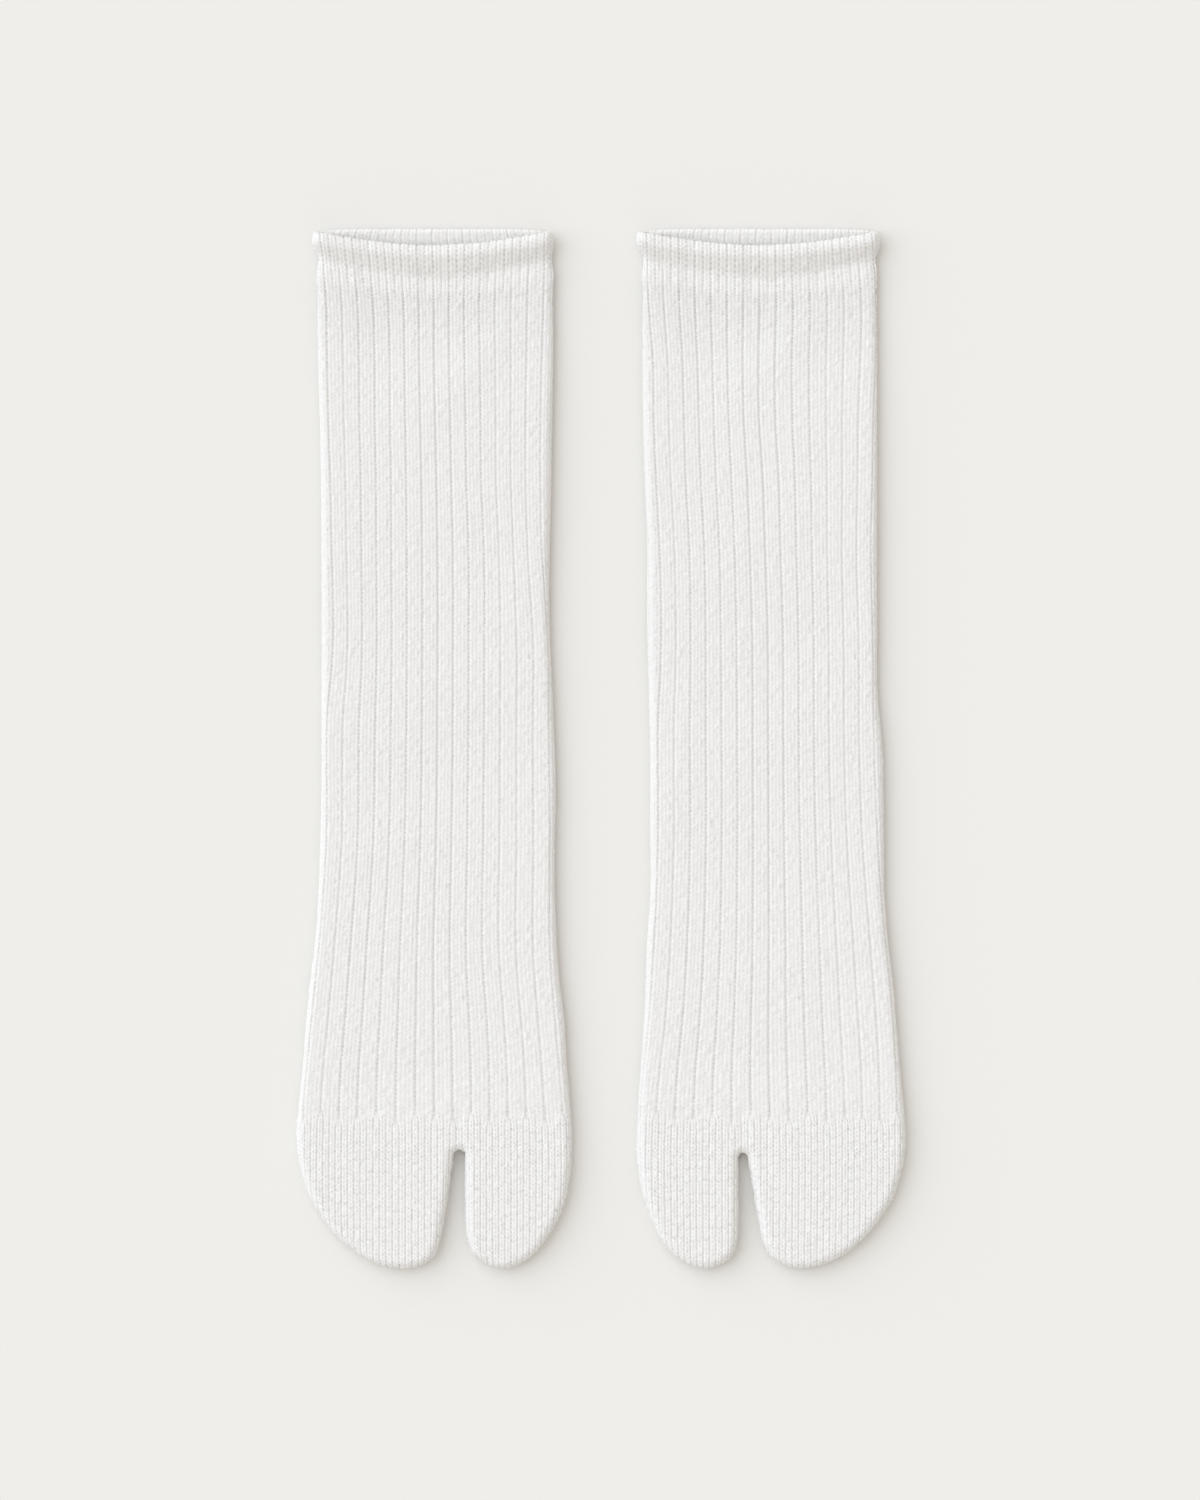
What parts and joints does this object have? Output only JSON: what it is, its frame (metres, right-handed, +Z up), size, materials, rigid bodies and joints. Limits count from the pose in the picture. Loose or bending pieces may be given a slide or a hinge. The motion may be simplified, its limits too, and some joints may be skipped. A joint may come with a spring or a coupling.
{
  "type": "pair of tabi socks",
  "caption": "Pair of white split-toe tube socks in broad cotton rib, with rolled fine-rib cuffs and plain knit toe pockets, laid flat side by side.",
  "frame": {"origin": "middle of the pair's footprint, on the surface it lies on", "axes": "+Z up from the surface, +Y along the legs towards the cuffs, +X from the right-foot sock to the left-foot sock, whose big toe pockets face each other"},
  "size_m": [0.2282, 0.3896, 0.0086],
  "materials": {
    "cotton_knit": "matt white cotton yarn, rib knit with plain knit toes"
  },
  "bodies": {
    "root": {"sock_right_foot": "cotton_knit", "sock_left_foot": "cotton_knit"}
  },
  "joints": []
}
